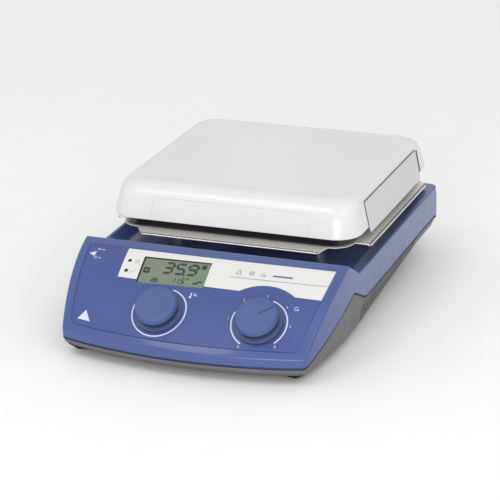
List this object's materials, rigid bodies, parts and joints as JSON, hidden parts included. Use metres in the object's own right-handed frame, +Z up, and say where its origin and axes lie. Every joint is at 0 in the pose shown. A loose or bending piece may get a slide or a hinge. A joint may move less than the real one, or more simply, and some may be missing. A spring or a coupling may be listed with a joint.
{
  "type": "heating magnetic stirrer",
  "caption": "Laboratory hot plate stirrer: square white plate on a blue wedge-nosed housing with display and rotary knobs.",
  "frame": {"origin": "on the bench under the middle of the bounding box, level with the feet's undersides", "axes": "+X to the stirrer's right seen from its controls, +Y to the rear (mains inlet side), +Z up"},
  "size_m": [0.22, 0.3299, 0.105],
  "materials": {
    "blue_plastic": "satin moulded, deep blue",
    "knob_plastic": "satin moulded, blue",
    "grey_plastic": "fine grained, mid grey",
    "black_plastic": "black, slightly glossy",
    "panel_print": "printed film, satin",
    "clear_pane": "smooth, grey green",
    "white_enamel": "glossy white enamel",
    "steel": "polished sheet and turned steel",
    "aluminium": "plain, matt",
    "magnet_metal": "plated magnet",
    "insulation": "pressed fibre",
    "circuit_board": "green solder mask",
    "rubber": "matt black"
  },
  "bodies": {
    "housing": {"upper_housing": "blue_plastic", "base_pan": "grey_plastic", "ribbon_cable": "grey_plastic", "insulation_frame": "black_plastic", "power_switch_frame": "black_plastic", "mains_inlet": "black_plastic", "probe_socket": "black_plastic", "led_lens_upper": "black_plastic", "led_lens_lower": "black_plastic", "temp_encoder": "black_plastic", "speed_potentiometer": "black_plastic", "filter_capacitor": "black_plastic", "panel_foil": "panel_print", "display_window": "clear_pane", "display_module": "clear_pane", "heating_plate": "white_enamel", "side_panel_left": "white_enamel", "side_panel_right": "white_enamel", "support_tray": "steel", "plate_standoff_1": "steel", "plate_standoff_2": "steel", "plate_standoff_3": "steel", "plate_standoff_4": "steel", "plate_sensor": "steel", "motor_bracket": "steel", "rotor_bearing": "steel", "housing_screw_1": "steel", "housing_screw_2": "steel", "housing_screw_3": "steel", "housing_screw_4": "steel", "rod_socket": "steel", "power_transformer": "steel", "heating_element": "aluminium", "motor_body": "aluminium", "heatsink": "aluminium", "board_spacer_1": "aluminium", "board_spacer_2": "aluminium", "board_spacer_3": "aluminium", "board_spacer_4": "aluminium", "insulation_pad": "insulation", "main_board": "circuit_board", "display_board": "circuit_board", "rubber_foot_1": "rubber", "rubber_foot_2": "rubber", "rubber_foot_3": "rubber", "rubber_foot_4": "rubber"},
    "temp_control": {"temp_knob": "knob_plastic", "temp_shaft": "steel"},
    "speed_control": {"speed_knob": "knob_plastic", "speed_shaft": "steel"},
    "rocker": {"power_rocker": "black_plastic"},
    "magnet_rotor": {"rotor_shaft": "steel", "magnet_carrier": "aluminium", "drive_magnet_north": "magnet_metal", "drive_magnet_south": "magnet_metal"},
    "drawer": {"fuse_drawer": "grey_plastic", "fuse": "steel"}
  },
  "joints": [
    {"name": "temp_turn", "type": "hinge", "parent": "housing", "child": "temp_control", "pos_m": [-0.022, -0.14098, 0.04123], "axis": [0, -0.5736, 0.8192], "continuous": true},
    {"name": "speed_turn", "type": "hinge", "parent": "housing", "child": "speed_control", "pos_m": [0.058, -0.13836, 0.04123], "axis": [0, -0.5736, 0.8192], "range_deg": [-84, 207]},
    {"name": "switch_rock", "type": "hinge", "parent": "housing", "child": "rocker", "pos_m": [-0.10312, -0.09352, 0.05], "axis": [0.0345, -0.3892, 0.9205], "range_deg": [-16, 0]},
    {"name": "rotor_spin", "type": "hinge", "parent": "housing", "child": "magnet_rotor", "pos_m": [0, 0.052, 0.05], "axis": [0, 0, 1], "continuous": true},
    {"name": "drawer_slide", "type": "slide", "parent": "housing", "child": "drawer", "axis": [0, 1, 0], "range_m": [0, 0.018]}
  ]
}
